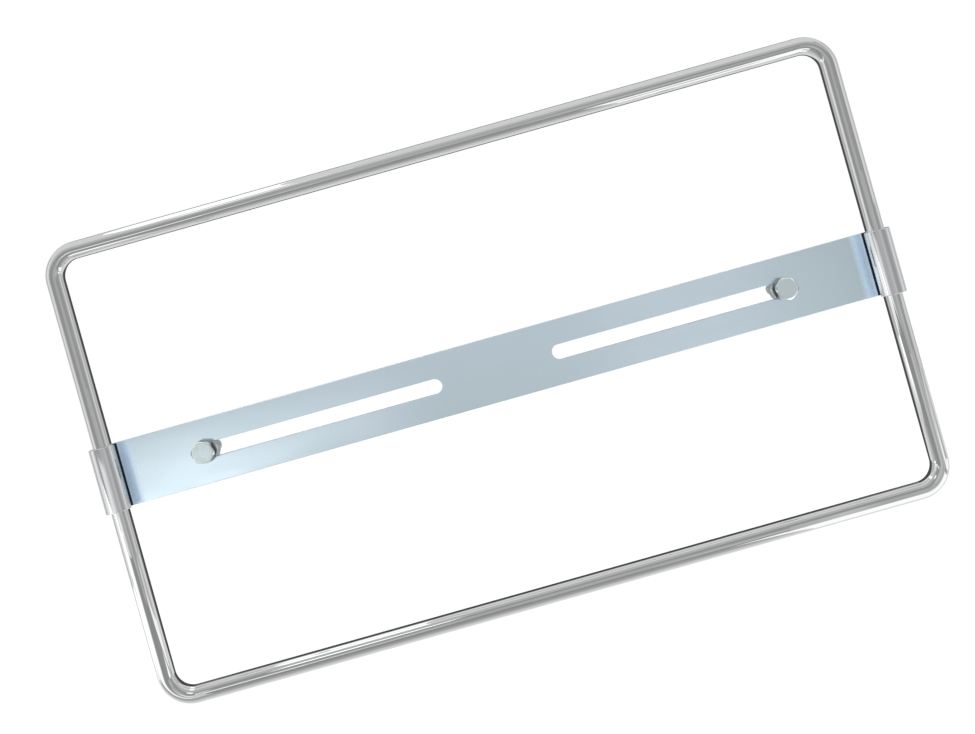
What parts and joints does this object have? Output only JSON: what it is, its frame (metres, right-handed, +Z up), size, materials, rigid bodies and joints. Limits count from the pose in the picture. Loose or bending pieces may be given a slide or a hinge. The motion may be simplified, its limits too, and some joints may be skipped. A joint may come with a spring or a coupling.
{
  "type": "number plate holder",
  "caption": "Rectangular bent-rod frame for a vehicle number plate, held in the rolled ends of a slotted cross strap, with hex bolts and nuts that slide in the slots.",
  "frame": {"origin": "middle of the strap's rear face, which goes against the vehicle, midway between the two slots", "axes": "+X to the right seen from the front, along the strap; +Z up; the front of the holder faces -Y"},
  "size_m": [0.378, 0.0261, 0.218],
  "materials": {
    "chrome_rod": "polished bright chrome plate",
    "zinc_strap": "bright blue zinc plate, smooth",
    "zinc_bolt": "bright zinc plate",
    "zinc_nut": "bright zinc plate"
  },
  "bodies": {
    "holder": {"plate_frame": "chrome_rod", "crossbar": "zinc_strap"},
    "left_fastener": {"left_bolt": "zinc_bolt", "left_nut": "zinc_nut"},
    "right_fastener": {"right_bolt": "zinc_bolt", "right_nut": "zinc_nut"}
  },
  "joints": [
    {"name": "left_bolt_slide", "type": "slide", "parent": "holder", "child": "left_fastener", "axis": [1, 0, 0], "range_m": [0, 0.11]},
    {"name": "right_bolt_slide", "type": "slide", "parent": "holder", "child": "right_fastener", "axis": [-1, 0, 0], "range_m": [-0.0025, 0.1075]}
  ]
}
